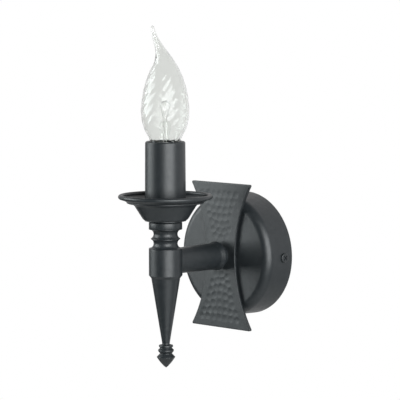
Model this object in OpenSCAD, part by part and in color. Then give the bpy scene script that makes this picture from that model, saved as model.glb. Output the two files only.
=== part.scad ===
// Torch sconce: a round backplate with a hammered plate, a short arm and an upright torch,
// which holds a candle tube, a small screw lampholder and a bent-tip candle lamp.
// Millimetres. The origin is the centre of the fixture's rear plane, on the wall.
// +X runs to the right, +Y into the wall and +Z up, so the fixture stands out along -Y.

/* [Backplate] */
// Outside diameter of the backplate
plate_d = 91.6; // [90:0.2:100]
// Distance from the wall to the backplate's face
plate_depth = 25.5; // [23:0.5:28]
// How much the backplate's radius shrinks from the wall to its face
plate_taper = 0.9; // [0:0.1:1.2]
// Radius of the backplate's rounded edge
plate_edge_r = 6.4; // [5:0.2:7]
// Thickness of the backplate's sheet
plate_t = 1.2; // [1:0.1:1.4]

/* [Hammered plate] */
// Height of the hammered plate
hammer_h = 108; // [98:0.4:116]
// Width of the hammered plate at its ends
hammer_w = 60.8; // [56:0.4:66]
// Width of the hammered plate at its waist
hammer_waist = 28.8; // [24:0.4:32]
// Thickness of the hammered plate
hammer_t = 2.2; // [1.6:0.1:3]
// Gap between the backplate's face and the hammered plate
hammer_gap = 0.7; // [0.4:0.1:1.2]
// Radius of the hammered plate's corners
hammer_corner_r = 1; // [0.6:0.2:2.4]

/* [Arm] */
// Distance from the wall to the torch's upright axis
arm_reach = 85.4; // [80:0.2:100]
// Diameter of the arm where it meets the torch
arm_front_d = 18.6; // [17:0.2:19]
// Diameter of the arm next to its rim
arm_rear_d = 19.5; // [18.5:0.1:20]
// Diameter of the arm's rolled rim
arm_rim_d = 21.4; // [20.6:0.1:23]
// Thickness of the arm's tube
arm_t = 1.5; // [1:0.1:1.8]
// Diameter of the neck between the arm and the hammered plate
neck_d = 16; // [14:0.5:17]
// Length of that neck
neck_l = 3.9; // [3:0.1:8]

/* [Hub and baluster] */
// Diameter of the hub that joins the arm and the torch
hub_d = 24.3; // [23:0.1:26]
// Height of the hub's top above the arm's axis
hub_up = 9.8; // [9:0.1:11]
// Depth of the hub's underside below the arm's axis
hub_down = 11.6; // [11.5:0.1:14]
// Width of the bevel round the hub's underside
hub_bevel = 1.7; // [1:0.1:2]
// Height of the double-cove spool on the hub
spool_h = 14.5; // [14:0.1:16]
// Diameter at the bottom of each cove
cove_d = 17.36; // [15:0.1:18]
// Radius of each cove
cove_r = 3.56; // [3:0.02:3.7]
// Diameter of the ridge between the coves
ridge_d = 21.2; // [20:0.1:22]
// Height of the plain ring under the drip pan
ring_h = 5.8; // [4:0.1:7]

/* [Spike and finial] */
// Length of the tapered spike under the hub
spike_l = 47.4; // [40:0.2:60]
// Diameter at the spike's lower end
spike_end_d = 5.6; // [5:0.1:7]
// Length of the finial
finial_l = 18.1; // [16:0.1:22]
// Diameter of the finial's drop
finial_d = 13.6; // [11:0.1:15]

/* [Drip pan] */
// Diameter over the drip pan's rolled lip
drip_d = 68.3; // [66:0.1:74]
// Height from the drip pan's underside to the top of its lip
drip_h = 19; // [18:0.1:21]
// Diameter of the rolled lip's bead
lip_d = 3.3; // [3:0.1:4.2]
// Thickness of the drip pan's sheet
drip_t = 1.2; // [1:0.1:1.4]

/* [Candle tube] */
// Diameter of the candle tube at its top
candle_top_d = 29; // [28.2:0.1:30]
// Diameter of the candle tube at its foot
candle_foot_d = 29.7; // [28.8:0.1:30]
// Height of the candle tube
candle_h = 55.6; // [54:0.2:57]
// Thickness of the candle tube's wall
candle_t = 1.2; // [0.8:0.1:1.3]
// Diameter of the mouth in the candle tube's turned-in top
candle_mouth_d = 23.2; // [22.8:0.1:24]

/* [Lamp] */
// Largest diameter of the lamp's glass
lamp_d = 35; // [33:0.2:36]
// Height of the lamp from its bottom contact to its tip
lamp_h = 122.5; // [120:0.5:126]
// How far the lamp's tip leans out of line
lamp_lean = 8.8; // [4:0.2:12]
// Compass direction in which the tip leans, counted from +X
lamp_lean_to = 223; // [0:1:359]
// Thickness of the lamp's glass
lamp_glass_t = 0.7; // [0.5:0.1:0.8]
// Outside diameter of the cap's screw thread
cap_thread_d = 13.89; // [13.8:0.01:13.89]
// Pitch of the cap's screw thread
cap_pitch = 2.822; // [2.8:0.002:2.84]

/* [Wall bracket] */
// Distance between the centres of the two wall slots
slot_spacing = 60; // [56:0.5:64]
// Width of each wall slot
slot_w = 4.5; // [4:0.1:5.5]
// End-to-end length of each wall slot
slot_l = 10; // [8:0.5:12]
// Diameter of the hole for the supply cable
cable_hole_d = 12; // [8:0.5:14]
// Height of the bracket's bar
bracket_h = 18; // [15:0.5:19]
// Thickness of the bracket's strip
bracket_t = 2; // [1.5:0.1:2.2]

/* [Wires and screws] */
// Outside diameter of each insulated wire
wire_d = 1.8; // [1.4:0.1:1.9]
// Diameter of the hollow threaded rods
rod_d = 10; // [9.8:0.1:10]
// Diameter of the wireway through those rods
rod_bore_d = 7; // [6.8:0.1:7.2]
// Diameter of the side screws' thread
side_screw_d = 4; // [3.5:0.5:4]

/* [Hidden] */
$fn = 96;
graphite = [0.27, 0.27, 0.26];
zinc = [0.72, 0.73, 0.74];
brass_colour = [0.8, 0.62, 0.3];
copper_colour = [0.8, 0.45, 0.3];

// Clearances
eps = 0.01;
rod_gap = 0.1;
thread_gap = 0.1;
contact_gap = 0.05;
cut = 1;

// Backplate
plate_r = plate_d / 2;
face_in = plate_depth - plate_t;
rod_r = rod_d / 2;
rod_hole_r = rod_r + rod_gap;

// Side screws
screw_out = 8.1;
screw_r = side_screw_d / 2;
screw_head_r = 3.6;
screw_head_h = 1.4;
screw_head_edge = 0.7;
screw_seat = 0.15;
screw_gap = 0.2;
screw_seat_x = plate_side_r(screw_out) - screw_seat;
screw_l = 6.5;
cross_l = 4.4;
cross_w = 0.9;
cross_depth = 0.8;

// Wall bracket
ear_gap = 0.15;
ear_out = 15.5;
ear_x = sqrt(pow(plate_side_r(ear_out) - plate_t - ear_gap, 2) - pow(bracket_h / 2, 2));

// Arm: distances along it are counted from the wall
hammer_from = plate_depth + hammer_gap;
neck_from = hammer_from + hammer_t;
arm_from = neck_from + neck_l;
rim_l = 1.6;
flare_l = 3.4;
arm_end_wall = 2.5;
hub_r = hub_d / 2;
hub_thread = 5.9;
rod_to = arm_reach - hub_r + hub_thread;
washer_t = 1;
washer_r = 9;
nut_h = 3;
nut_flats = 14;
arm_nut_out = face_in - washer_t - nut_h;
rod_from = arm_nut_out - 2.5;
bush_flange = 1.2;
bush_l = 6;
bush_bore_r = 2.5;

// Hub: heights are counted from the arm's axis
hub_cavity_r = 4.5;
wireway_r = 4;
cavity_down = 3.5;
cavity_up = 3;
stud_r = 4;
stud_gap = 0.4;
stud_depth = 8;
hub_edge = 0.5;

// Baluster and drip pan
spool_r = 12.1;
spool_from = hub_up;
ring_from = spool_from + spool_h;
drip_from = ring_from + ring_h;
cove_centre = cove_d / 2 + cove_r;
cove_inset = 3.85;
ring_edge = 1.1;
lip_r = lip_d / 2;
lip_centre_r = drip_d / 2 - lip_r;
lip_centre_z = drip_from + drip_h - lip_r;
floor_z = drip_from + 1.9;
drip_floor_r = 15;

// Candle tube
candle_from = floor_z;
candle_edge_r = 1.5;

// Lampholder
torch_nut_from = floor_z + washer_t;
base_from = torch_nut_from + nut_h;
base_disc = 3;
torch_rod_from = cavity_up;
torch_rod_to = base_from + base_disc;
base_r = 10.8;
base_bore_r = 9.4;
base_h = 7.8;
body_from = base_from + base_h;
body_floor = 1.5;
body_h = 31;
body_r = 11;
body_bore_r = 8.8;
body_mouth_r = 9.3;
ledge_up = 19;
rib_w = 1.6;
rib_gap = 0.1;
seat_z = body_from + body_floor;
brass_t = 0.35;
thread_depth = 0.7;
thread_turns = 5;
shell_crest_r = cap_thread_d / 2 + thread_gap;
shell_outer_r = shell_crest_r + thread_depth + brass_t;
shell_from = body_from + ledge_up - thread_turns * cap_pitch;
leaf_t = 0.4;
leaf_w = 4;
leaf_rise = 2.45;
rivet_x = 6;
rivet_r = 1.2;
rivet_bore_r = 0.6;
rivet_head_r = 1.9;

// Lamp: heights from its bottom contact
lamp_from = seat_z + leaf_rise + contact_gap;
contact_r = 2.2;
contact_h = 0.8;
insulator_h = 4.2;
cap_thread_from = 4.6;
cap_turns = 5;
cap_wall = 0.4;
cap_h = 26.5;
cap_skirt_r = 7.4;
neck_r = 6.15;
neck_lift = 0.29;
neck_from_cap = cap_thread_from + cap_turns * cap_pitch + neck_lift;
stem_h = 54.2;
stem_r = 3.2;
stem_bulge_r = 4.3;
glass_tip_l = 14;
lead_r = 0.3;
lead_x = 1.2;
support_r = 0.2;
filament_x = 5;
filament_z = 66;
filament_sag = 2.4;
filament_r = 0.35;
filament_top = filament_z + filament_sag;

// Wires
wire_r = wire_d / 2;
core_r = 0.5;
pair_x = 1.05;
wire_sides = 8;
way_pitch = 8.5;
block_from_z = 15;
block_w = 28;
block_deep = 13;
block_tall = 17;
block_out = face_in - block_deep;
way_out = block_out + block_deep / 2;
insert_r = 2.4;
insert_bore_r = 1.5;
insert_inset = 2;
well_r = 2;
clamp_r = 1.5;
clamp_z = [block_from_z + 5, block_from_z + block_tall - 5];
live_x = way_pitch;
neutral_x = 0;
earth_x = -way_pitch;
core_from = block_from_z + insert_inset;
core_l = 6;
block_stud_x = way_pitch / 2;
block_stud_r = 1.5;
earth_z = -24;
earth_stud_r = 2;
tag_t = 0.8;
tag_r = 4;
tongue_w = 2.4;
tongue_l = 3;
barrel_r = 1.5;
barrel_l = 5;
barrel_up = tag_r + 0.8;
barrel_out = face_in - tag_t - barrel_r + 0.3;
earth_nut_h = 3.2;
wire_top = body_from - 1.6;

// ---- Helpers ----

// The backplate's outside radius at a distance from the wall
function plate_side_r(out) = plate_r - plate_taper * out / plate_depth;

function unit(v) = v / norm(v);
function turn(a, b) = (b - a + 540) % 360 - 180;
function level(q) = [q[0], q[1]];

// The points that round the corner q, between p and s, to the radius q[2]
function corner(p, q, s, n) =
    q[2] == undef ? [level(q)] :
    let (
        u = unit(level(p) - level(q)),
        v = unit(level(s) - level(q)),
        half = acos(u * v) / 2,
        centre = level(q) + unit(u + v) * q[2] / sin(half),
        from = level(q) + u * q[2] / tan(half) - centre,
        to = level(q) + v * q[2] / tan(half) - centre,
        start = atan2(from[1], from[0]),
        sweep = turn(start, atan2(to[1], to[0]))
    )
    [for (i = [0:n]) centre + q[2] * [cos(start + sweep * i / n), sin(start + sweep * i / n)]];

// An outline from its corners [x, y] or [x, y, radius]
function rounded(c, n = 6) =
    [for (i = [0:len(c) - 1])
        each corner(c[(i + len(c) - 1) % len(c)], c[i], c[(i + 1) % len(c)], n)];

// A line drawn beside an open line p, at the distance t on its left
function beside(p, t) =
    [for (i = [0:len(p) - 1])
        let (
            last = len(p) - 1,
            a = unit(p[max(i, 1)] - p[max(i, 1) - 1]),
            b = unit(p[min(i, last - 1) + 1] - p[min(i, last - 1)]),
            m = [-a[1] - b[1], a[0] + b[0]]
        )
        p[i] + t * m / (1 + a * b)];

function reversed(p) = [for (i = [len(p) - 1:-1:0]) p[i]];

// A smooth curve through the points p, with n steps between each two
function mix(a, b, c, d, t) =
    (2 * b + (c - a) * t + (2 * a - 5 * b + 4 * c - d) * t * t
        + (3 * b - 3 * c + d - a) * t * t * t) / 2;
function curve(p, n) =
    [for (i = [0:len(p) - 2], k = [0:n - 1])
        mix(p[max(i - 1, 0)], p[i], p[i + 1], p[min(i + 2, len(p) - 1)], k / n), p[len(p) - 1]];

// A closed skin over equal rings of points, from the first ring to the last
module skin(rings) {
    n = len(rings[0]);
    m = len(rings);
    polyhedron(
        points = [for (ring = rings) each ring],
        faces = [
            [for (k = [0:n - 1]) k],
            [for (k = [n - 1:-1:0]) (m - 1) * n + k],
            for (i = [0:m - 2], k = [0:n - 1])
                let (a = i * n + k, b = i * n + (k + 1) % n)
                each [[a, a + n, b + n], [a, b + n, b]]
        ]
    );
}

// A round tube of radius r along a route, which never runs along X
module sweep_wire(route, r) {
    last = len(route) - 1;
    skin([for (i = [0:last])
        let (
            along = unit(route[min(i + 1, last)] - route[max(i - 1, 0)]),
            side = unit(cross(along, [1, 0, 0])),
            up = cross(along, side)
        )
        [for (k = [0:wire_sides - 1])
            route[i] + r * (cos(360 * k / wire_sides) * side + sin(360 * k / wire_sides) * up)]]);
}

// A straight wire with round ends
module straight_wire(from, to, r) {
    v = to - from;
    translate(from)
        rotate([0, acos(v[2] / norm(v)), atan2(v[1], v[0])])
            cylinder(h = norm(v), r = r, $fn = 24);
    for (p = [from, to]) translate(p) sphere(r = r, $fn = 24);
}

// Stands a shape that is built along +Z out from the wall, with its foot at the given distance
module out_from_wall(distance = 0) {
    translate([0, -distance, 0]) rotate([90, 0, 0]) children();
}

module at_torch(height = 0) {
    translate([0, -arm_reach, height]) children();
}

// A turned solid from the corners of its half section
module turned(corners, steps = 6) {
    rotate_extrude() polygon(rounded(corners, steps));
}

module ring_of(outer, inner, height) {
    difference() {
        cylinder(h = height, r = outer);
        translate([0, 0, -cut]) cylinder(h = height + 2 * cut, r = inner);
    }
}

module hex_nut(flats, thread_r, height) {
    chamfer = 0.5;
    corner_r = flats / 2 / cos(30);
    difference() {
        intersection() {
            cylinder(h = height, r = corner_r, $fn = 6);
            turned([
                [0, 0], [corner_r - chamfer, 0], [corner_r + eps, chamfer],
                [corner_r + eps, height - chamfer], [corner_r - chamfer, height], [0, height]
            ]);
        }
        translate([0, 0, -cut]) cylinder(h = height + 2 * cut, r = thread_r);
    }
}

// A hollow threaded rod with chamfered ends
module hollow_rod(length) {
    chamfer = 0.6;
    turned([
        [rod_bore_d / 2, 0], [rod_r - chamfer, 0], [rod_r, chamfer],
        [rod_r, length - chamfer], [rod_r - chamfer, length], [rod_bore_d / 2, length]
    ]);
}

// ---- Wall side ----

module wall_bracket() {
    color(zinc) difference() {
        union() {
            translate([-ear_x, -bracket_t, -bracket_h / 2]) cube([2 * ear_x, bracket_t, bracket_h]);
            for (side = [0, 1]) mirror([side, 0, 0])
                translate([ear_x - bracket_t, -ear_out, -bracket_h / 2])
                    cube([bracket_t, ear_out - bracket_t + eps, bracket_h]);
        }
        rotate([90, 0, 0]) translate([0, 0, -cut])
            cylinder(h = bracket_t + 2 * cut, r = cable_hole_d / 2);
        for (side = [-1, 1]) {
            translate([side * slot_spacing / 2, cut, 0]) rotate([90, 0, 0]) wall_slot();
            translate([side * (ear_x - bracket_t / 2), -screw_out, 0]) rotate([0, 90, 0])
                cylinder(h = bracket_t + 2 * cut, r = screw_r, center = true);
        }
    }
}

module wall_slot() {
    straight = slot_l - slot_w;
    depth = bracket_t + 2 * cut;
    for (side = [-1, 1]) translate([side * straight / 2, 0, 0]) cylinder(h = depth, r = slot_w / 2);
    translate([-straight / 2, -slot_w / 2, 0]) cube([straight, slot_w, depth]);
}

// One pan-head screw with a cross recess, built along +Z, with its axis through the backplate's side
module side_screw() {
    head_top = screw_seat_x + screw_head_h;
    difference() {
        turned([
            [0, screw_seat_x - screw_l], [screw_r, screw_seat_x - screw_l], [screw_r, screw_seat_x],
            [screw_head_r, screw_seat_x], [screw_head_r, head_top, screw_head_edge], [0, head_top]
        ]);
        for (angle = [45, -45]) rotate([0, 0, angle])
            translate([-cross_l / 2, -cross_w / 2, head_top - cross_depth])
                cube([cross_l, cross_w, cross_depth + cut]);
    }
}

module side_screws() {
    color(graphite) for (side = [-1, 1])
        translate([0, -screw_out, 0]) rotate([0, side * 90, 0]) side_screw();
}

module backplate() {
    line = rounded([
        [plate_r, 0], [plate_r - plate_taper, plate_depth, plate_edge_r], [rod_hole_r, plate_depth]
    ], 12);
    inside = [for (p = reversed(beside(line, plate_t))) [p[0], max(p[1], 0)]];
    color(graphite) difference() {
        out_from_wall() rotate_extrude() polygon(concat(line, inside));
        for (side = [-1, 1]) translate([0, -screw_out, 0]) rotate([0, side * 90, 0]) {
            translate([0, 0, screw_seat_x]) cylinder(h = cut, r = screw_head_r + screw_gap);
            translate([0, 0, screw_seat_x - 2 * plate_t])
                cylinder(h = 2 * plate_t + cut, r = screw_r + screw_gap);
        }
    }
}

module spacer_washer() {
    color(zinc) out_from_wall(plate_depth) ring_of(washer_r + 1, rod_hole_r, hammer_gap);
}

module hammered_plate() {
    half_h = hammer_h / 2;
    dip = (hammer_w - hammer_waist) / 2;
    side_r = (half_h * half_h + dip * dip) / (2 * dip);
    color(graphite) difference() {
        out_from_wall(hammer_from) linear_extrude(hammer_t)
            offset(r = hammer_corner_r, $fn = 48) offset(delta = -hammer_corner_r)
                difference() {
                    square([hammer_w, hammer_h], center = true);
                    for (side = [-1, 1])
                        translate([side * (hammer_waist / 2 + side_r), 0])
                            circle(r = side_r, $fn = 240);
                }
        out_from_wall(hammer_from - cut) cylinder(h = hammer_t + 2 * cut, r = rod_hole_r);
    }
}

// ---- Arm ----

module arm_neck() {
    color(graphite) out_from_wall(neck_from) ring_of(neck_d / 2, rod_hole_r, neck_l);
}

module arm_tube() {
    rim = arm_rim_d / 2;
    rear = arm_rear_d / 2;
    front = arm_front_d / 2;
    length = arm_reach - arm_from;
    color(graphite) difference() {
        out_from_wall(arm_from) turned([
            [rod_hole_r, 0], [rim, 0, 0.75], [rim, rim_l, 0.75], [rear, flare_l + rim_l, 3],
            [front, length], [front - arm_t, length], [rear - arm_t, arm_end_wall + rim_l],
            [rear - arm_t, arm_end_wall], [rod_hole_r, arm_end_wall]
        ]);
        at_torch(-hub_r) cylinder(h = hub_d, r = hub_r);
    }
}

module arm_rod() {
    color(zinc) out_from_wall(rod_from) hollow_rod(rod_to - rod_from);
}

module arm_washer() {
    color(zinc) out_from_wall(face_in - washer_t) ring_of(washer_r, rod_hole_r, washer_t);
}

module arm_nut() {
    color(zinc) out_from_wall(arm_nut_out) hex_nut(nut_flats, rod_r, nut_h);
}

// Plastic bush that keeps the wires off the rod's rear edge
module rod_bush() {
    color([0.85, 0.85, 0.82]) out_from_wall(rod_from - bush_flange) turned([
        [bush_bore_r, 0, 0.4], [rod_r, 0, 0.4], [rod_r, bush_flange], [rod_bore_d / 2, bush_flange],
        [rod_bore_d / 2, bush_flange + bush_l], [bush_bore_r, bush_flange + bush_l]
    ]);
}

// ---- Terminals inside the backplate ----

module earth_stud() {
    length = 10;
    color(zinc) translate([0, 0, earth_z]) out_from_wall(face_in - length)
        cylinder(h = length, r = earth_stud_r);
}

// A ring terminal: its ring round the stud, its tongue and the crimped barrel that holds the wire
module earth_tag() {
    color(brass_colour) translate([0, 0, earth_z]) difference() {
        union() {
            out_from_wall(face_in - tag_t) cylinder(h = tag_t, r = tag_r);
            translate([-tongue_w / 2, -face_in, 0]) cube([tongue_w, tag_t, tag_r + tongue_l]);
            translate([0, -barrel_out, barrel_up]) cylinder(h = barrel_l, r = barrel_r);
        }
        out_from_wall(face_in - tag_t - cut) cylinder(h = tag_t + 2 * cut, r = earth_stud_r);
        translate([0, -barrel_out, barrel_up - cut]) cylinder(h = barrel_l + 2 * cut, r = wire_r);
    }
}

module earth_nut() {
    color(zinc) translate([0, 0, earth_z]) out_from_wall(face_in - tag_t - earth_nut_h)
        hex_nut(7, earth_stud_r, earth_nut_h);
}

module block_stud() {
    length = block_deep + 4;
    color(zinc) translate([block_stud_x, 0, block_from_z + block_tall / 2])
        out_from_wall(face_in - length) cylinder(h = length, r = block_stud_r);
}

module block_nut() {
    height = 2.4;
    color(zinc) translate([block_stud_x, 0, block_from_z + block_tall / 2])
        out_from_wall(block_out - height) hex_nut(5.5, block_stud_r, height);
}

module terminal_block() {
    waist = 2.6;
    notch = 4;
    color([0.93, 0.93, 0.9]) difference() {
        translate([-block_w / 2, -face_in, block_from_z]) cube([block_w, block_deep, block_tall]);
        for (x = [earth_x, neutral_x, live_x]) {
            translate([x, -way_out, block_from_z - cut]) {
                cylinder(h = block_tall + 2 * cut, r = insert_bore_r + 0.2);
                translate([0, 0, cut + insert_inset])
                    cylinder(h = block_tall - 2 * insert_inset, r = insert_r);
            }
            for (z = clamp_z) translate([x, 0, z]) out_from_wall(block_out - cut)
                cylinder(h = way_out - block_out + cut, r = well_r);
        }
        for (x = [-block_stud_x, block_stud_x])
            translate([x, 0, block_from_z + block_tall / 2]) out_from_wall(block_out - cut)
                cylinder(h = block_deep + 2 * cut, r = block_stud_r + 0.1);
        for (x = [-block_stud_x, block_stud_x], z = [block_from_z - eps, block_from_z + block_tall - waist])
            translate([x - 1, -block_out - notch, z]) cube([2, notch + cut, waist + eps]);
    }
}

module terminal_inserts() {
    color(brass_colour) for (x = [earth_x, neutral_x, live_x]) difference() {
        translate([x, -way_out, core_from]) difference() {
            cylinder(h = block_tall - 2 * insert_inset, r = insert_r);
            translate([0, 0, -cut]) cylinder(h = block_tall, r = insert_bore_r);
        }
        for (z = clamp_z) translate([x, 0, z]) out_from_wall(block_out)
            cylinder(h = way_out - block_out, r = clamp_r);
    }
}

module terminal_screws() {
    head = 1.8;
    slot = 0.6;
    color(zinc) for (x = [earth_x, neutral_x, live_x], i = [0, 1]) {
        reach = way_out - (i == 0 ? core_r : insert_bore_r);
        translate([x, 0, clamp_z[i]]) difference() {
            union() {
                out_from_wall(block_out + 1) cylinder(h = reach - block_out - 1, r = clamp_r - eps);
                out_from_wall(block_out + 1) cylinder(h = head, r = well_r - 0.1);
            }
            translate([-well_r, -block_out - 1 - slot, -slot / 2]) cube([2 * well_r, slot + cut, slot]);
        }
    }
}

// ---- Wires ----

// The route of one supply wire from its terminal, through the arm and up the torch
function lamp_wire_route(way_x, side) = let (x = side * pair_x, bend = 4, y = -arm_reach) concat(
    curve([
        [way_x, -way_out, core_from], [way_x, -way_out, block_from_z],
        [way_x, -way_out + 0.4, 12], [0.8 * way_x + 0.2 * x, -12.2, 6.4],
        [0.45 * way_x + x, -7.8, 2.6], [1.6 * x, -8.4, 0.4], [x, -12, 0], [x, -rod_from - bush_l, 0]
    ], 4),
    [[x, -rod_to + 4, 0]],
    [for (a = [0:15:90]) [x, y + bend - bend * sin(a), bend - bend * cos(a)]],
    curve([
        [x, y, torch_rod_to - 5], [x, y, torch_rod_to - 0.5], [side * 3.4, y, torch_rod_to + 2],
        [side * (rivet_x - 0.6), y, wire_top - 1], [side * rivet_x, y, wire_top - 0.4],
        [side * rivet_x, y, wire_top - 0.2], [side * rivet_x, y, wire_top]
    ], 4)
);

module live_wire() {
    color([0.5, 0.27, 0.13]) sweep_wire(lamp_wire_route(live_x, 1), wire_r);
}

module neutral_wire() {
    color([0.2, 0.4, 0.7]) sweep_wire(lamp_wire_route(neutral_x, -1), wire_r);
}

module earth_wire() {
    end_z = earth_z + barrel_up;
    color([0.5, 0.7, 0.2]) sweep_wire(curve([
        [earth_x, -way_out, core_from], [earth_x, -way_out, block_from_z],
        [earth_x - 0.5, -way_out, 12], [-11, -13, 6], [-13, -12, -3],
        [-9, -14.5, -9.6], [-2.5, -barrel_out + 1, -10.8], [0, -barrel_out, -13],
        [0, -barrel_out, end_z + barrel_l], [0, -barrel_out, end_z]
    ], 4), wire_r);
}

// The bared ends in the terminals and in the holder's rivets
module wire_cores() {
    color(copper_colour) {
        for (x = [earth_x, neutral_x, live_x])
            translate([x, -way_out, core_from]) cylinder(h = core_l, r = core_r, $fn = 32);
        for (side = [-1, 1]) at_torch(wire_top) translate([side * rivet_x, 0, 0])
            cylinder(h = seat_z - wire_top, r = core_r, $fn = 32);
    }
}

// ---- Torch ----

module torch_hub() {
    bevel_h = 2.1;
    color(graphite) at_torch() difference() {
        turned([
            [0, -hub_down], [hub_r - hub_bevel, -hub_down], [hub_r, bevel_h - hub_down],
            [hub_r, hub_up, hub_edge], [0, hub_up]
        ]);
        translate([0, 0, torch_rod_from]) cylinder(h = hub_up - torch_rod_from + cut, r = rod_r);
        translate([0, 0, -cavity_down]) cylinder(h = cavity_down + cavity_up + eps, r = hub_cavity_r);
        translate([0, 0, -hub_down - cut]) cylinder(h = hub_down + cut, r = stud_r);
        rotate([-90, 0, 0]) {
            cylinder(h = hub_r + cut, r = wireway_r);
            translate([0, 0, arm_reach - rod_to]) cylinder(h = hub_r, r = rod_r);
        }
    }
}

module spike_stud() {
    color(zinc) at_torch(-hub_down - stud_depth)
        cylinder(h = stud_depth + hub_down - cavity_down, r = stud_r);
}

module spike() {
    top_r = hub_r - hub_bevel;
    color(graphite) at_torch(-hub_down - spike_l) difference() {
        cylinder(h = spike_l, r1 = spike_end_d / 2, r2 = top_r);
        translate([0, 0, spike_l - stud_depth - stud_gap])
            cylinder(h = stud_depth + stud_gap + cut, r = stud_r);
        translate([0, 0, -cut]) cylinder(h = 7 + cut, r = 1.5);
    }
}

// Two rings and a pointed drop, with a spigot that screws into the spike
module finial() {
    end = spike_end_d / 2;
    drop_r = finial_d / 2;
    drop_from = 10.2;
    drop_l = finial_l - drop_from;
    color(graphite) at_torch(-hub_down - spike_l) turned([
        [0, 6.6], [1.5, 6.6], [1.5, 0], [end, 0], [end, -0.9], [5.1, -1.5, 0.3], [5.2, -2.6, 0.3],
        [4.2, -3.6, 0.4], [5.7, -4.9, 0.3], [5.7, -5.9, 0.3], [4.3, -7.6, 0.6],
        [drop_r, -drop_from, 0.4], [0.6 * drop_r, -drop_from - 0.5 * drop_l, 16],
        [0.2 * drop_r, -drop_from - 0.87 * drop_l, 8], [0, -finial_l]
    ], 4);
}

module torch_rod() {
    color(zinc) at_torch(torch_rod_from) hollow_rod(torch_rod_to - torch_rod_from);
}

module cove_spool() {
    low = cove_inset;
    high = spool_h - cove_inset;
    color(graphite) at_torch(spool_from) rotate_extrude() difference() {
        translate([rod_hole_r, 0]) square([spool_r - rod_hole_r, spool_h]);
        for (z = [low, high]) translate([cove_centre, z]) circle(r = cove_r);
        translate([ridge_d / 2, low]) square([spool_r, high - low]);
    }
}

module drip_ring() {
    color(graphite) at_torch(ring_from) turned([
        [rod_hole_r, 0], [spool_r, 0], [spool_r, ring_h, ring_edge], [rod_hole_r, ring_h]
    ]);
}

module drip_pan() {
    line = rounded([
        [rod_hole_r, 0], [15.6, 0, 4.2], [22.8, 11.5, 4], [28.6, 14.1, 3],
        [lip_centre_r, lip_centre_z - drip_from - lip_r + 0.3]
    ], 8);
    color(graphite) at_torch(drip_from) difference() {
        rotate_extrude() {
            polygon(concat(line, reversed(beside(line, drip_t))));
            translate([lip_centre_r, lip_centre_z - drip_from]) circle(r = lip_r);
            translate([27.4, 13.5]) circle(r = 0.7);
            square([drip_floor_r, floor_z - drip_from]);
        }
        translate([0, 0, -cut]) cylinder(h = ring_h, r = rod_hole_r);
    }
}

module torch_washer() {
    color(zinc) at_torch(floor_z) ring_of(washer_r, rod_hole_r, washer_t);
}

module torch_nut() {
    color(zinc) at_torch(torch_nut_from) hex_nut(nut_flats, rod_r, nut_h);
}

module candle_tube() {
    foot = candle_foot_d / 2;
    top = candle_top_d / 2;
    mouth = candle_mouth_d / 2;
    color(graphite) at_torch(candle_from) turned([
        [foot - candle_t, 0], [foot, 0], [top, candle_h, candle_edge_r],
        [mouth, candle_h, 0.5], [mouth, candle_h - candle_t, 0.4],
        [top - candle_t, candle_h - candle_t, 0.3]
    ], 8);
}

// ---- Lampholder ----

module holder_base() {
    color([0.16, 0.16, 0.17]) at_torch(base_from) turned([
        [rod_r, 0], [base_r, 0, 0.8], [base_r, base_h], [base_bore_r, base_h],
        [base_bore_r, base_disc], [rod_r, base_disc]
    ]);
}

module holder_body() {
    color([0.16, 0.16, 0.17]) at_torch(body_from) difference() {
        union() {
            cylinder(h = body_h, r = body_r);
            for (a = [90, 210, 330]) rotate([0, 0, a]) translate([body_r - cut, -rib_w / 2, 2])
                cube([candle_top_d / 2 - candle_t - rib_gap - body_r + cut, rib_w, body_h - 3]);
        }
        translate([0, 0, body_floor]) cylinder(h = body_h, r = body_bore_r);
        translate([0, 0, ledge_up]) cylinder(h = body_h, r = body_mouth_r);
        for (side = [-1, 1]) translate([side * rivet_x, 0, -cut])
            cylinder(h = body_floor + 2 * cut, r = rivet_r);
    }
}

// The rolled screw shell: rings stand for the thread, and its flange rests on the body's ledge
module holder_shell() {
    steps = 8;
    wave = [for (i = [0:thread_turns * steps])
        [shell_crest_r + thread_depth * (1 - cos(360 * i / steps)) / 2, i * cap_pitch / steps]];
    top = thread_turns * cap_pitch;
    color(brass_colour) at_torch(shell_from) rotate_extrude() polygon(concat(
        wave, [[shell_crest_r, top + brass_t], [body_mouth_r, top + brass_t],
        [body_mouth_r, top]], [for (p = reversed(wave)) p + [brass_t, 0]]
    ));
}

// A bent leaf that presses up against the lamp's contact
module holder_centre_contact() {
    foot_end = rivet_x + rivet_head_r;
    color(brass_colour) at_torch(seat_z) difference() {
        translate([0, leaf_w / 2, 0]) rotate([90, 0, 0]) linear_extrude(leaf_w) polygon([
            [foot_end, 0], [foot_end, leaf_t], [3.7, leaf_t], [1.3, leaf_rise], [-1.8, leaf_rise],
            [-1.8, leaf_rise - leaf_t], [1.1, leaf_rise - leaf_t], [3.5, 0]
        ]);
        translate([rivet_x, 0, -cut]) cylinder(h = leaf_t + 2 * cut, r = rivet_r);
    }
}

// A strip that joins its rivet to the side of the screw shell
module holder_side_contact() {
    width = 3;
    outer = 8.6;
    color(brass_colour) at_torch(seat_z) difference() {
        union() {
            translate([-outer, -width / 2, 0]) cube([outer - 4.2, width, leaf_t]);
            translate([-outer, -width / 2, 0]) cube([outer - shell_outer_r, width, 9]);
        }
        translate([-rivet_x, 0, -cut]) cylinder(h = leaf_t + 2 * cut, r = rivet_r);
    }
}

module holder_rivets() {
    below = 0.6;
    head = 0.45;
    color(brass_colour) for (side = [-1, 1])
        at_torch(body_from - below) translate([side * rivet_x, 0, 0]) turned([
            [rivet_bore_r, 0], [rivet_r, 0], [rivet_r, below + body_floor + leaf_t],
            [rivet_head_r, below + body_floor + leaf_t],
            [rivet_head_r, below + body_floor + leaf_t + head, 0.25],
            [rivet_bore_r, below + body_floor + leaf_t + head]
        ]);
}

// ---- Lamp ----

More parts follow.
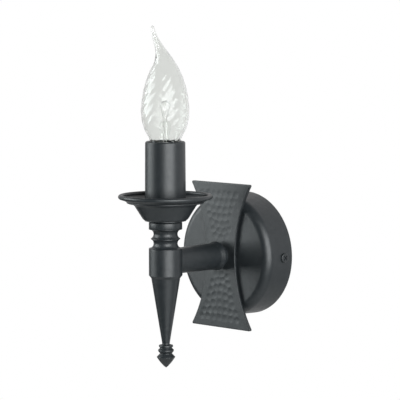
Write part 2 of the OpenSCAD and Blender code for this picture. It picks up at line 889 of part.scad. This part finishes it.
module lamp_cap() {
    steps = 8;
    low = cap_thread_from;
    top_thread = low + cap_turns * cap_pitch;
    crest = cap_thread_d / 2;
    wave = [for (i = [0:cap_turns * steps])
        [crest - thread_depth * (1 + cos(360 * i / steps)) / 2, low + i * cap_pitch / steps]];
    inner = crest - thread_depth - cap_wall;
    color(brass_colour) at_torch(lamp_from) rotate_extrude() polygon(concat(
        [[inner, low - 1.4], [inner + cap_wall, low - 1.4]], wave,
        [[crest, top_thread + 0.8], [crest, cap_h - 4], [cap_skirt_r, cap_h - 2.5], [cap_skirt_r, cap_h],
        [neck_r + 0.35, cap_h], [neck_r + 0.35, top_thread + 0.8], [inner, top_thread - 0.4]]
    ));
}

module lamp_insulator() {
    inner = cap_thread_d / 2 - thread_depth - cap_wall;
    color([0.08, 0.08, 0.1]) at_torch(lamp_from) turned([
        [0, contact_h], [contact_r + 0.6, contact_h, 0.4], [inner + 0.3, 3.2], [inner, 3.2],
        [inner, insulator_h + 1], [0, insulator_h + 1]
    ]);
}

module lamp_contact() {
    color([0.75, 0.75, 0.73]) at_torch(lamp_from) turned([
        [0, 0], [contact_r - 0.6, 0], [contact_r, 0.5, 0.3], [contact_r, contact_h], [0, contact_h]
    ]);
}

// Radius of the glass at the heights where its shape changes, above the bottom contact
lamp_line = let (r = lamp_d / 2, h = lamp_h) [
    [neck_r, neck_from_cap], [neck_r, 24.5], [6.6, cap_h + 0.8], [8, 33], [0.63 * r, 40.5],
    [0.85 * r, 48], [0.96 * r, 54.5], [r, 62], [0.95 * r, 71], [0.85 * r, 79.5], [0.67 * r, 88.5],
    [0.42 * r, 97], [0.225 * r, 105.5], [0.125 * r, 114], [0.08 * r, h - 2.5]
];
lean_from = 94;

function ease(t) = t <= 0 ? 0 : t >= 1 ? 1 : t * t * (3 - 2 * t);
function lean(z) = lamp_lean * ease((z - lean_from) / (lamp_h - lean_from + 0.5));
function glass_ring(r, z, n) = let (d = lean(z)) [for (k = [0:n - 1]) [
    d * cos(lamp_lean_to) + r * cos(360 * k / n), d * sin(lamp_lean_to) + r * sin(360 * k / n), z
]];

module glass_solid(line, n) {
    skin([for (p = line) glass_ring(p[0], p[1], n)]);
}

module lamp_glass() {
    sides = 32;
    outer = curve(lamp_line, 2);
    hollow_to = lamp_h - glass_tip_l;
    inner = [for (p = outer) if (p[1] < hollow_to) [p[0] - lamp_glass_t, p[1]]];
    last = outer[len(outer) - 1];
    color([0.9, 0.92, 0.92, 0.35]) at_torch(lamp_from) difference() {
        glass_solid(concat(outer, [[last[0] * 0.8, lamp_h - 1], [last[0] * 0.35, lamp_h]]), sides);
        glass_solid(concat([[inner[0][0], inner[0][1] - cut]], inner), sides);
    }
}

module lamp_stem() {
    flare_r = neck_r - lamp_glass_t - 0.05;
    color([0.9, 0.92, 0.92]) at_torch(lamp_from) difference() {
        turned([
            [0, neck_from_cap + 1], [flare_r - 1, neck_from_cap], [flare_r, neck_from_cap],
            [stem_r, neck_from_cap + 6, 3], [stem_r, stem_h - 8.2, 1], [stem_bulge_r, stem_h - 4.7, 2],
            [stem_bulge_r - 0.9, stem_h - 0.2, 1.5],
            [0, stem_h]
        ]);
        for (side = [-1, 1]) translate([side * lead_x, 0, neck_from_cap - cut])
            cylinder(h = stem_h, r = lead_r, $fn = 24);
    }
}

module lamp_leads() {
    color(zinc) at_torch(lamp_from) for (side = [-1, 1]) {
        sweep_wire([
            [side * lead_x, 0, insulator_h + 1.5], [side * lead_x, 0, stem_h + 0.5],
            [side * (lead_x + 0.3), 0, stem_h + 1.5], [side * filament_x, 0, filament_z]
        ], lead_r);
    }
}

module lamp_support() {
    color(zinc) at_torch(lamp_from)
        straight_wire([0, 0, stem_h + support_r], [0, 0, filament_top - 2 * filament_r], support_r);
}

module lamp_filament() {
    bow_r = (filament_x * filament_x + filament_sag * filament_sag) / (2 * filament_sag);
    half = asin(filament_x / bow_r);
    trim = 5;
    color([0.5, 0.5, 0.52]) at_torch(lamp_from + filament_top - bow_r)
        rotate([90, 0, 0]) rotate([0, 0, 90 - half + trim])
            rotate_extrude(angle = 2 * (half - trim)) translate([bow_r, 0]) circle(r = filament_r, $fn = 24);
}

wall_bracket();
side_screws();
backplate();
spacer_washer();
hammered_plate();
arm_neck();
arm_tube();
arm_rod();
arm_washer();
arm_nut();
rod_bush();
earth_stud();
earth_tag();
earth_nut();
block_stud();
block_nut();
terminal_block();
terminal_inserts();
terminal_screws();
live_wire();
neutral_wire();
earth_wire();
wire_cores();
torch_hub();
spike_stud();
spike();
finial();
torch_rod();
cove_spool();
drip_ring();
drip_pan();
torch_washer();
torch_nut();
holder_base();
holder_body();
holder_shell();
holder_centre_contact();
holder_side_contact();
holder_rivets();
candle_tube();
lamp_cap();
lamp_insulator();
lamp_contact();
lamp_glass();
lamp_stem();
lamp_leads();
lamp_support();
lamp_filament();
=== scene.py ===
"""Looks for the torch sconce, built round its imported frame. Metres, +Z up, the wall at y = 0.

Shapes are written in millimetres and scaled by piece(). Noise and wave scales are per metre.
"""

import math
import random

import bpy
from mathutils import Matrix, Vector


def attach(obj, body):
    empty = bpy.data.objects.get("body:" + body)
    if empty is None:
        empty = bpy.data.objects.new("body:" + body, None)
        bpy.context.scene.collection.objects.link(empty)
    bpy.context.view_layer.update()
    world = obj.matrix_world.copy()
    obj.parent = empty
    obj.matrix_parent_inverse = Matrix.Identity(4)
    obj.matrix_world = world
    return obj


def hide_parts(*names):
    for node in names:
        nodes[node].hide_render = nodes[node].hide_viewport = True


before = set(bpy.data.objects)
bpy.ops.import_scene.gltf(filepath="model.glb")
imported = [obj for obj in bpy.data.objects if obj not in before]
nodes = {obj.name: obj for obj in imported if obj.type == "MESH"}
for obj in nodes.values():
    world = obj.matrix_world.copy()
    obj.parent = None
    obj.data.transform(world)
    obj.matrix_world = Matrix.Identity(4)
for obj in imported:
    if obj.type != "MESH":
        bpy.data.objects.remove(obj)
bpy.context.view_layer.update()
scene = bpy.context.scene
MM = 0.001
TORCH_Y = -85.4  # the torch's upright axis, in millimetres
EVEN = (1, 1, 1)


def direction(azimuth, elevation):
    """A unit vector from the sconce; azimuth 0 is straight out from the wall, in degrees."""
    a, e = math.radians(azimuth), math.radians(elevation)
    return Vector((math.sin(a) * math.cos(e), -math.cos(a) * math.cos(e), math.sin(e)))


# ---- Camera, fitted to the photograph's view ----

CAMERA_AT = Vector((1.12191, -1.19034, 0.19357))
CAMERA_AZIMUTH = 44.53
CAMERA_ELEVATION = 5.39
CAMERA_ROLL = 0.134
CAMERA_LENS = 197.49
SENSOR_WIDTH = 36
CLIP_NEAR, CLIP_FAR = 0.1, 50


def make_camera():
    data = bpy.data.cameras.new("camera")
    data.lens = CAMERA_LENS
    data.sensor_width = SENSOR_WIDTH
    data.clip_start = CLIP_NEAR
    data.clip_end = CLIP_FAR
    camera = bpy.data.objects.new("camera", data)
    scene.collection.objects.link(camera)
    back = direction(CAMERA_AZIMUTH, CAMERA_ELEVATION)
    turn = math.radians(CAMERA_AZIMUTH)
    right = Vector((math.cos(turn), math.sin(turn), 0))
    up = back.cross(right)
    roll = math.radians(CAMERA_ROLL)
    c, s = math.cos(roll), math.sin(roll)
    axes = Matrix((c * right - s * up, s * right + c * up, back)).transposed()
    camera.matrix_world = Matrix.Translation(CAMERA_AT) @ axes.to_4x4()
    scene.camera = camera


# ---- Materials ----


NOISE_LOW, NOISE_HIGH = 0.3, 0.7  # nearly all of the noise lies between these


def shader_of(m):
    return m.node_tree.nodes["Principled BSDF"]


def material(name, colour, roughness, **sockets):
    """A Principled material. Extra sockets are given with underscores for spaces."""
    m = bpy.data.materials.new(name)
    m.use_nodes = True
    shader = shader_of(m)
    shader.inputs["Base Color"].default_value = (*colour, 1)
    shader.inputs["Roughness"].default_value = roughness
    for key, value in sockets.items():
        shader.inputs[key.replace("_", " ")].default_value = value
    return m


def noise_node(tree, scale, detail=3.0, stretch=EVEN):
    """Noise that is fixed to the piece."""
    place = tree.nodes.new("ShaderNodeTexCoord")
    mapping = tree.nodes.new("ShaderNodeMapping")
    mapping.inputs["Scale"].default_value = stretch
    noise = tree.nodes.new("ShaderNodeTexNoise")
    noise.inputs["Scale"].default_value = scale
    noise.inputs["Detail"].default_value = detail
    tree.links.new(place.outputs["Object"], mapping.inputs["Vector"])
    tree.links.new(mapping.outputs["Vector"], noise.inputs["Vector"])
    return noise


def ramp_colour(m, texture, first, second, start, end):
    """The base colour runs from first to second as the texture goes from start to end."""
    tree = m.node_tree
    ramp = tree.nodes.new("ShaderNodeValToRGB")
    low, high = ramp.color_ramp.elements
    low.position = start
    low.color = (*first, 1)
    high.position = end
    high.color = (*second, 1)
    tree.links.new(texture.outputs["Fac"], ramp.inputs["Fac"])
    tree.links.new(ramp.outputs["Color"], shader_of(m).inputs["Base Color"])


def mottle(m, low, high, scale, detail=3.0, stretch=EVEN):
    """Lets the base colour drift between low and high."""
    noise = noise_node(m.node_tree, scale, detail, stretch)
    ramp_colour(m, noise, low, high, NOISE_LOW, NOISE_HIGH)


def vary_roughness(m, low, high, scale, stretch=EVEN):
    tree = m.node_tree
    noise = noise_node(tree, scale, 2.0, stretch)
    span = tree.nodes.new("ShaderNodeMapRange")
    span.inputs["From Min"].default_value = NOISE_LOW
    span.inputs["From Max"].default_value = NOISE_HIGH
    span.inputs["To Min"].default_value = low
    span.inputs["To Max"].default_value = high
    tree.links.new(noise.outputs["Fac"], span.inputs["Value"])
    tree.links.new(span.outputs["Result"], shader_of(m).inputs["Roughness"])


def bumps(m, layers):
    """Adds bump layers, each (scale, strength, distance, stretch)."""
    tree = m.node_tree
    last = None
    for scale, strength, distance, stretch in layers:
        noise = noise_node(tree, scale, 2.0, stretch)
        bump = tree.nodes.new("ShaderNodeBump")
        bump.inputs["Strength"].default_value = strength
        bump.inputs["Distance"].default_value = distance
        tree.links.new(noise.outputs["Fac"], bump.inputs["Height"])
        if last:
            tree.links.new(last.outputs["Normal"], bump.inputs["Normal"])
        last = bump
    tree.links.new(last.outputs["Normal"], shader_of(m).inputs["Normal"])


def coat(name, low, high, rough_low, rough_high):
    """Graphite powder coat: fine orange peel over a faint mottle."""
    m = material(name, high, rough_high)
    mottle(m, low, high, 260, 4.0)
    vary_roughness(m, rough_low, rough_high, 420)
    bumps(m, [(900, 0.45, 0.00006, EVEN), (2600, 0.45, 0.00003, EVEN)])
    return m


def plated(name, low, high, roughness, stretch=(1, 1, 12)):
    """Bare or plated metal with fine drawn lines."""
    m = material(name, high, roughness, Metallic=1.0)
    mottle(m, low, high, 500, 3.0, stretch)
    vary_roughness(m, roughness * 0.8, roughness * 1.25, 700, stretch)
    bumps(m, [(1500, 0.25, 0.00004, stretch)])
    return m


def plastic(name, low, high, roughness, coat_weight=0.0):
    """Moulded or extruded plastic, with a clear coat where it shines."""
    m = material(name, high, roughness, Coat_Weight=coat_weight)
    mottle(m, low, high, 350, 3.0)
    vary_roughness(m, roughness * 0.85, roughness * 1.15, 600)
    bumps(m, [(1600, 0.15, 0.00004, EVEN)])
    return m


def striped(name, first, second, roughness):
    """A plastic jacket of two colours in slanting stripes, a few millimetres wide."""
    m = plastic(name, second, second, roughness)
    tree = m.node_tree
    place = tree.nodes.new("ShaderNodeTexCoord")
    bands = tree.nodes.new("ShaderNodeTexWave")
    bands.wave_type = "BANDS"
    bands.bands_direction = "DIAGONAL"
    bands.inputs["Scale"].default_value = 55
    bands.inputs["Distortion"].default_value = 0.4
    tree.links.new(place.outputs["Object"], bands.inputs["Vector"])
    ramp_colour(m, bands, first, second, 0.42, 0.5)
    return m


def clear(name, tint, roughness):
    """Clear glass with a slightly uneven surface."""
    m = material(name, tint, roughness, IOR=1.3, Transmission_Weight=1.0)
    bumps(m, [(90, 0.12, 0.0002, EVEN)])
    return m


GRAPHITE = coat("graphite_coat", (0.008, 0.0105, 0.012), (0.012, 0.0145, 0.0165), 0.39, 0.47)
HAMMERED = coat("hammered_coat", (0.009, 0.0115, 0.013), (0.014, 0.0165, 0.018), 0.40, 0.48)
ZINC = plated("zinc_plate", (0.52, 0.53, 0.54), (0.66, 0.67, 0.68), 0.32)
BRASS = plated("brass_metal", (0.66, 0.47, 0.2), (0.8, 0.6, 0.3), 0.26)
COPPER = plated("copper_strands", (0.7, 0.34, 0.2), (0.85, 0.46, 0.3), 0.35, (1, 14, 14))
BONE = plastic("white_polyamide", (0.72, 0.72, 0.67), (0.8, 0.8, 0.76), 0.5)
PHENOLIC = plastic("black_phenolic", (0.012, 0.012, 0.013), (0.022, 0.022, 0.024), 0.28, 0.3)
BROWN = plastic("brown_jacket", (0.13, 0.05, 0.02), (0.19, 0.08, 0.035), 0.42)
BLUE = plastic("blue_jacket", (0.02, 0.08, 0.32), (0.035, 0.12, 0.42), 0.42)
EARTH = striped("earth_jacket", (0.07, 0.3, 0.04), (0.75, 0.62, 0.03), 0.42)
VITRITE = plastic("black_vitrite", (0.008, 0.008, 0.012), (0.014, 0.014, 0.02), 0.12, 0.6)
GLASS = clear("lamp_clear_glass", (0.83, 0.84, 0.825), 0.09)
STEM = clear("stem_glass", (0.95, 0.96, 0.95), 0.0)
NICKEL = plated("nickel_wire", (0.42, 0.42, 0.41), (0.56, 0.56, 0.55), 0.3)
TUNGSTEN = plated("tungsten_coil", (0.2, 0.2, 0.21), (0.34, 0.34, 0.35), 0.45, EVEN)
SOLDER = plated("solder_tin", (0.6, 0.6, 0.59), (0.72, 0.72, 0.71), 0.38, EVEN)

LOOKS = {
    GRAPHITE: (
        "backplate", "side_screws", "arm_neck", "arm_tube", "torch_hub", "spike", "finial",
        "cove_spool", "drip_ring", "drip_pan", "candle_tube",
    ),
    HAMMERED: ("hammered_plate",),
    ZINC: (
        "wall_bracket", "spacer_washer", "arm_rod", "arm_washer", "arm_nut", "earth_stud",
        "earth_nut", "block_stud", "block_nut", "terminal_screws", "spike_stud", "torch_rod",
        "torch_washer", "torch_nut",
    ),
    BRASS: (
        "earth_tag", "terminal_inserts", "holder_shell", "holder_centre_contact",
        "holder_side_contact", "holder_rivets", "lamp_cap",
    ),
    COPPER: ("wire_cores",),
    BONE: ("rod_bush", "terminal_block"),
    PHENOLIC: ("holder_base", "holder_body"),
    BROWN: ("live_wire",),
    BLUE: ("neutral_wire",),
    EARTH: ("earth_wire",),
    VITRITE: ("lamp_insulator",),
    GLASS: ("lamp_glass",),
    STEM: ("lamp_stem",),
    NICKEL: ("lamp_leads", "lamp_support"),
    TUNGSTEN: ("lamp_filament",),
    SOLDER: ("lamp_contact",),
}


def dress_nodes():
    for look, names in LOOKS.items():
        for name in names:
            mesh = nodes[name].data
            mesh.materials.clear()
            mesh.materials.append(look)


# ---- Studio: white surround, soft boxes and a pale floor ----

AIM = Vector((0, -0.05, 0.035))
DIM_COLOUR, DIM_STRENGTH = (0.8, 0.95, 1, 1), 0.04
WHITE_COLOUR, WHITE_STRENGTH = (1, 1, 1, 1), 1.0
FLOOR_SIDES, FLOOR_R, FLOOR_Z = 96, 0.9, -0.7
FLOOR_PAINT, FLOOR_ROUGHNESS = (0.5, 0.5, 0.495), 0.7


def softbox(name, azimuth, elevation, distance, width, height, radiance, colour, seen=True):
    """An even light sheet that faces AIM. Where it isn't seen, glass looks past it."""
    data = bpy.data.lights.new(name, "AREA")
    data.shape = "RECTANGLE"
    data.size = width
    data.size_y = height
    data.color = colour
    data.energy = radiance * math.pi * width * height
    light = bpy.data.objects.new(name, data)
    scene.collection.objects.link(light)
    light.visible_camera = False
    light.visible_transmission = seen
    away = direction(azimuth, elevation)
    light.location = AIM + away * distance
    light.rotation_mode = "QUATERNION"
    light.rotation_quaternion = away.to_track_quat("Z", "Y")


def background(tree, colour, strength):
    node = tree.nodes.new("ShaderNodeBackground")
    node.inputs["Color"].default_value = colour
    node.inputs["Strength"].default_value = strength
    return node


def math_node(tree, operation, first, second=None):
    """A Math node on one or two sockets; with one, the other value is a half."""
    node = tree.nodes.new("ShaderNodeMath")
    node.operation = operation
    tree.links.new(first, node.inputs[0])
    if second is None:
        node.inputs[1].default_value = 0.5
    else:
        tree.links.new(second, node.inputs[1])
    return node.outputs[0]


def make_world():
    """White for the camera and for what the glass lets through, and dim for everything else."""
    world = bpy.data.worlds.new("studio")
    scene.world = world
    world.use_nodes = True
    tree = world.node_tree
    tree.nodes.clear()
    path = tree.nodes.new("ShaderNodeLightPath").outputs
    sharp = math_node(tree, "MAXIMUM", path["Is Camera Ray"], path["Is Singular Ray"])
    through = math_node(tree, "GREATER_THAN", path["Transmission Depth"])
    seen = math_node(tree, "MAXIMUM", sharp, through)
    mix = tree.nodes.new("ShaderNodeMixShader")
    out = tree.nodes.new("ShaderNodeOutputWorld")
    tree.links.new(seen, mix.inputs[0])
    tree.links.new(background(tree, DIM_COLOUR, DIM_STRENGTH).outputs[0], mix.inputs[1])
    tree.links.new(background(tree, WHITE_COLOUR, WHITE_STRENGTH).outputs[0], mix.inputs[2])
    tree.links.new(mix.outputs[0], out.inputs[0])
    scene.view_settings.view_transform = "Standard"


def make_floor():
    mesh = bpy.data.meshes.new("floor")
    ring = []
    for k in range(FLOOR_SIDES):
        a = math.tau * k / FLOOR_SIDES
        ring.append((FLOOR_R * math.cos(a), FLOOR_R * math.sin(a), FLOOR_Z))
    mesh.from_pydata(ring, [], [list(range(FLOOR_SIDES))])
    floor = bpy.data.objects.new("floor", mesh)
    scene.collection.objects.link(floor)
    mesh.materials.append(material("floor_paint", FLOOR_PAINT, FLOOR_ROUGHNESS))


def make_studio():
    make_world()
    softbox("left_box", -49, 14, 1.3, 1.05, 1.05, 5.4, (0.93, 0.99, 1))
    softbox("right_box", 68, 10, 1.3, 1.25, 1.25, 7.6, (0.96, 0.99, 1))
    softbox("back_sheet", -172, 14, 1, 5.6, 2.8, 0.84, (1, 0.985, 0.99), seen=False)
    make_floor()


# ---- Meshes ----


def piece(name, verts, faces, m):
    """A new smooth mesh piece from points in millimetres."""
    mesh = bpy.data.meshes.new(name)
    mesh.from_pydata([tuple(c * MM for c in v) for v in verts], [], faces)
    mesh.materials.append(m)
    mesh.validate()
    mesh.polygons.foreach_set("use_smooth", [True] * len(mesh.polygons))
    obj = bpy.data.objects.new(name, mesh)
    scene.collection.objects.link(obj)
    return obj


def band(a, b, sides):
    """The faces that join ring a to ring b, each of so many points."""
    faces = []
    for k in range(sides):
        n = (k + 1) % sides
        faces.append((a * sides + k, a * sides + n, b * sides + n, b * sides + k))
    return faces


def cap(ring, sides):
    """One face over the ring."""
    return list(range(ring * sides, (ring + 1) * sides))


# ---- Hammered plate: the CAD outline, with its rows of dents in the front face ----

PLATE_FRONT = -28.4
PLATE_BACK = -26.2
PLATE_HALF_H = 54.0
PLATE_HALF_W = 30.4
WAIST_HALF = 14.4
WAIST_DIP = PLATE_HALF_W - WAIST_HALF
SIDE_R = (PLATE_HALF_H**2 + WAIST_DIP**2) / (2 * WAIST_DIP)
CORNER_R = 1.0
EDGE_R = 0.35
EDGE_MID = 0.1
PLATE_STEP = 0.42
PLATE_COLS = 130
UNEVEN = 0.03
UNEVEN_X, UNEVEN_Z, UNEVEN_SHIFT = 0.31, 0.23, 1.3  # radians a millimetre, and radians
DENT_SEED = 4
DENT_SHIFT = 0.2
DENT_R, DENT_R_SPREAD = 2.95, (0.93, 1.06)
DENT_DEPTH, DENT_DEPTH_SPREAD = 0.16, (0.8, 1.2)
DENT_BOWL = 1.4  # a higher power gives a more pointed dent
UPPER_SHARE = 0.8  # the upper rows are struck more lightly
# Each row of dents: its height on the axis, how much it falls away towards the plate's end, and
# where its dents lie
DENT_ROWS = (
    (45.8, 0.001, (-18.2, -12.3, -6.3, -1, 4.3, 9.7, 15.6)),
    (39.8, 0.003, (-15, -9.3, -3.7, 1.7, 7.2, 12.8)),
    (33.9, 0.008, (-12.7, -7, -0.9, 5, 10.7)),
    (28.4, 0.014, (-11.3, -6, -0.7, 4.7, 9.6)),
    (22.9, 0.022, (-8.9, -3.5, 2, 7.4)),
    (17.9, 0.028, (-7.4, -1.8, 4, 8.9)),
    (13.6, 0.03, (-5, 0.6, 6.2)),
    (-14, 0.03, (-4.8, 1, 6.7)),
    (-18.3, 0.033, (-8.7, -3.4, 1.8, 7.4)),
    (-23.7, 0.026, (-10, -5, 0.2, 5, 9.3)),
    (-29.6, 0.017, (-12.3, -6.9, -1.2, 4.7, 10.6)),
    (-35.4, 0.01, (-13.7, -7.5, -1.2, 5.4, 12)),
    (-41.1, 0.004, (-17.3, -11.2, -5.6, -0.5, 4.8, 10, 15.4)),
    (-46.8, 0.0, (-19.3, -13.4, -7.5, -1.6, 4.4, 10.3, 16.6)),
)


def concave_side(z):
    """Half the plate's width at the height z, before its corners are rounded."""
    return WAIST_HALF + SIDE_R - math.sqrt(SIDE_R**2 - z * z)


def plate_half_width(z):
    """Half the plate's width at the height z: the corner's circle touches the side and the end."""
    tilt = math.atan(abs(z) / math.sqrt(SIDE_R**2 - z * z))
    corner_from = PLATE_HALF_H - CORNER_R * (1 + math.sin(tilt))
    if abs(z) <= corner_from:
        return concave_side(z)
    centre = concave_side(corner_from) - CORNER_R * math.cos(tilt)
    away = abs(z) - (PLATE_HALF_H - CORNER_R)
    return centre + math.sqrt(max(CORNER_R**2 - away**2, 0))


def make_dents():
    """Each dent's centre, radius and depth, with a small spread of its own."""
    rng = random.Random(DENT_SEED)
    dents = []
    for z, fall, row in DENT_ROWS:
        side = math.copysign(1, z)
        for x in row:
            dents.append((
                x + rng.uniform(-DENT_SHIFT, DENT_SHIFT),
                z + side * fall * x * x + rng.uniform(-DENT_SHIFT, DENT_SHIFT),
                DENT_R * rng.uniform(*DENT_R_SPREAD),
                DENT_DEPTH * (UPPER_SHARE if z > 0 else 1) * rng.uniform(*DENT_DEPTH_SPREAD),
            ))
    return dents


def dent_depth(x, z, dents):
    """How deep the face lies at x, z: neighbouring dents meet in a soft ridge."""
    depth = 0.0
    for dx, dz, r, h in dents:
        d2 = ((x - dx) ** 2 + (z - dz) ** 2) / (r * r)
        if d2 < 1:
            depth = max(depth, h * (1 - d2) ** DENT_BOWL)
    return depth


def hammered_plate():
    dents = make_dents()
    # Distances in from the outline, and how far back the surface lies there
    edge = [
        (0.0, PLATE_BACK - PLATE_FRONT), (0.0, EDGE_R), (EDGE_MID, EDGE_MID), (EDGE_R, 0.0),
    ]
    rows = int(2 * PLATE_HALF_H / PLATE_STEP)
    span = PLATE_HALF_H - EDGE_R
    heights = [(-PLATE_HALF_H + d, back) for d, back in edge]
    heights += [(-span + 2 * span * k / rows, 0.0) for k in range(1, rows)]
    heights += [(PLATE_HALF_H - d, back) for d, back in reversed(edge)]
    verts = []
    for z, end_back in heights:
        w = plate_half_width(z)
        inner = w - EDGE_R
        line = [(-w + d, back) for d, back in edge]
        line += [(-inner + 2 * inner * k / PLATE_COLS, 0.0) for k in range(1, PLATE_COLS)]
        line += [(w - d, back) for d, back in reversed(edge)]
        for x, back in line:
            deep = max(back, end_back)
            if deep == 0.0:
                deep = dent_depth(x, z, dents)
                across = math.sin(UNEVEN_X * x + UNEVEN_SHIFT)
                deep += UNEVEN * across * math.sin(UNEVEN_Z * z)
            verts.append((x, PLATE_FRONT + deep, z))
    width = len(verts) // len(heights)
    below = [j * width for j in range(len(heights) - 1)]
    faces = [
        (a + i, a + i + 1, a + width + i + 1, a + width + i)
        for a in below
        for i in range(width - 1)
    ]
    # The flat back closes the shell from side to side
    faces += [(a, a + width, a + 2 * width - 1, a + width - 1) for a in below]
    plate = piece("hammered_plate_dented", verts, faces, HAMMERED)
    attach(plate, "fixture")
    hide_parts("hammered_plate")


# ---- Ring under the drip pan, with a worn upper corner ----

RING_SIDES = 96
RING_FROM = 24.3
RING_R = 12.08
RING_BORE = 5.1
RING_LINE = (
    (RING_BORE, 0.0), (RING_R - 0.5, 0.0), (RING_R - 0.15, 0.12), (RING_R, 0.45), (RING_R, 4.2),
    (RING_R - 0.06, 4.5), (RING_R - 0.25, 4.8), (RING_R - 0.7, 5.3), (RING_R - 1.3, 5.6),
    (RING_R - 2.2, 5.75), (RING_BORE, 5.78),
)


def drip_ring():
    verts, faces = [], []
    for j, (r, z) in enumerate(RING_LINE):
        for k in range(RING_SIDES):
            a = math.tau * k / RING_SIDES
            verts.append((r * math.cos(a), TORCH_Y + r * math.sin(a), RING_FROM + z))
        faces += band(j, (j + 1) % len(RING_LINE), RING_SIDES)
    ring = piece("drip_ring_turned", verts, faces, GRAPHITE)
    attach(ring, "fixture")
    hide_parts("drip_ring")


# ---- Lamp: ribbed glass and a fine filament coil ----

LAMP_FROM = 47.8
LAMP_R = 17.5
LAMP_H = 122.5
GLASS_R = LAMP_R - 0.01  # just inside the CAD's box
GLASS_SIDES = 192
GLASS_STEP = 0.6
GLASS_T = 0.7
SOLID_TIP = 5
NECK_R = 6.15
GLASS_FROM = 19.0
LEAN = 8.8
LEAN_TO = math.radians(223)
LEAN_FROM = 94
LEAN_SPAN = LAMP_H - LEAN_FROM + 0.5
RIBS = 15
RIB_DEPTH = 0.4
RIB_TWIST = math.radians(3.3)
INNER_RIB_SHARE = 0.75
RIBS_FROM, RIBS_GROW = 27, 12
RIBS_TO, RIBS_FADE = LAMP_H - 9, 22
GLASS_LINE = (
    (NECK_R, GLASS_FROM), (NECK_R, 24.5), (6.6, 27.3), (8, 33), (0.63 * LAMP_R, 40.5),
    (0.85 * LAMP_R, 48), (0.96 * LAMP_R, 54.5), (LAMP_R, 62), (0.95 * LAMP_R, 71),
    (0.85 * LAMP_R, 79.5), (0.67 * LAMP_R, 88.5), (0.42 * LAMP_R, 97), (0.225 * LAMP_R, 105.5),
    (0.125 * LAMP_R, 114), (0.08 * LAMP_R, LAMP_H - 2.5), (0.064 * LAMP_R, LAMP_H - 1),
    (0.028 * LAMP_R, LAMP_H),
)
FILAMENT_SIDES = 6
COIL_TURNS = 36
TURN_STEPS = 12
COIL_R = 0.27
WIRE_R = 0.075
BOW_HALF_SPAN = 5.0
BOW_SAG = 2.4
BOW_FROM = 66
COIL_SHORT = math.radians(5)  # the coil ends this far short of the leads
ASIDE = Vector((0, 1, 0.01))  # the wire never runs along this


def smooth(t):
    t = min(max(t, 0), 1)
    return t * t * (3 - 2 * t)


def curve(points, step):
    """A smooth curve through the points, in steps of about the given length."""
    line = []
    for i in range(len(points) - 1):
        a, b = points[max(i - 1, 0)], points[i]
        c, d = points[i + 1], points[min(i + 2, len(points) - 1)]
        n = max(2, round(math.dist(b, c) / step))
        for k in range(n):
            t = k / n
            line.append(tuple(
                (2 * q + (r - p) * t + (2 * p - 5 * q + 4 * r - s) * t * t
                 + (3 * q - 3 * r + s - p) * t**3) / 2
                for p, q, r, s in zip(a, b, c, d)
            ))
    line.append(points[-1])
    return line


def glass_ring(radius, z, rib):
    """One ring of the glass, with its ribs cut in and its centre leaning towards the tip."""
    lean = LEAN * smooth((z - LEAN_FROM) / LEAN_SPAN)
    ring = []
    for k in range(GLASS_SIDES):
        a = math.tau * k / GLASS_SIDES
        r = radius - rib * (0.5 - 0.5 * math.cos(RIBS * (a - RIB_TWIST * z)))
        ring.append((
            lean * math.cos(LEAN_TO) + r * math.cos(a),
            TORCH_Y + lean * math.sin(LEAN_TO) + r * math.sin(a),
            LAMP_FROM + z,
        ))
    return ring


def rib_depth(r, z):
    """The ribs fade in above the cap and run out below the tip."""
    grown = smooth((z - RIBS_FROM) / RIBS_GROW)
    return RIB_DEPTH * grown * smooth((RIBS_TO - z) / RIBS_FADE) * r / LAMP_R


def lamp_glass():
    """The glass's outer skin up to the tip, and its inner skin down again to the neck."""
    outer = [(min(r, GLASS_R), z) for r, z in curve(GLASS_LINE, GLASS_STEP)]
    inner = [(r, z) for r, z in reversed(outer) if z < LAMP_H - SOLID_TIP]
    verts = []
    for r, z in outer:
        verts += glass_ring(r, z, rib_depth(r, z))
    for r, z in inner:
        verts += glass_ring(r - GLASS_T, z, INNER_RIB_SHARE * rib_depth(r, z))
    tip = len(outer) - 1
    end = tip + len(inner)
    faces = [cap(tip, GLASS_SIDES), cap(tip + 1, GLASS_SIDES)[::-1]]
    for j in range(end):
        if j != tip:
            faces += band(j, j + 1, GLASS_SIDES)
    faces += band(end, 0, GLASS_SIDES)
    glass = piece("lamp_glass_ribbed", verts, faces, GLASS)
    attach(glass, "lamp_bulb")
    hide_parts("lamp_glass")


def filament_coil():
    """A close coil of fine wire along the bow between the two leads."""
    bow_r = (BOW_HALF_SPAN**2 + BOW_SAG**2) / (2 * BOW_SAG)
    half = math.asin(BOW_HALF_SPAN / bow_r) - COIL_SHORT
    top = LAMP_FROM + BOW_FROM + BOW_SAG
    count = COIL_TURNS * TURN_STEPS
    route = []
    for k in range(count + 1):
        a = -half + 2 * half * k / count
        r = bow_r + COIL_R * math.cos(math.tau * k / TURN_STEPS)
        y = TORCH_Y + COIL_R * math.sin(math.tau * k / TURN_STEPS)
        route.append(Vector((r * math.sin(a), y, top - bow_r + r * math.cos(a))))
    verts, faces = [], []
    for k, point in enumerate(route):
        along = (route[min(k + 1, count)] - route[max(k - 1, 0)]).normalized()
        side = along.cross(ASIDE).normalized()
        other = along.cross(side)
        for i in range(FILAMENT_SIDES):
            a = math.tau * i / FILAMENT_SIDES
            verts.append(point + WIRE_R * (math.cos(a) * side + math.sin(a) * other))
        if k < count:
            faces += band(k, k + 1, FILAMENT_SIDES)
    faces += [cap(0, FILAMENT_SIDES)[::-1], cap(count, FILAMENT_SIDES)]
    coil = piece("lamp_filament_coil", verts, faces, TUNGSTEN)
    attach(coil, "lamp_bulb")
    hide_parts("lamp_filament")


make_camera()
make_studio()
dress_nodes()
hammered_plate()
drip_ring()
lamp_glass()
filament_coil()
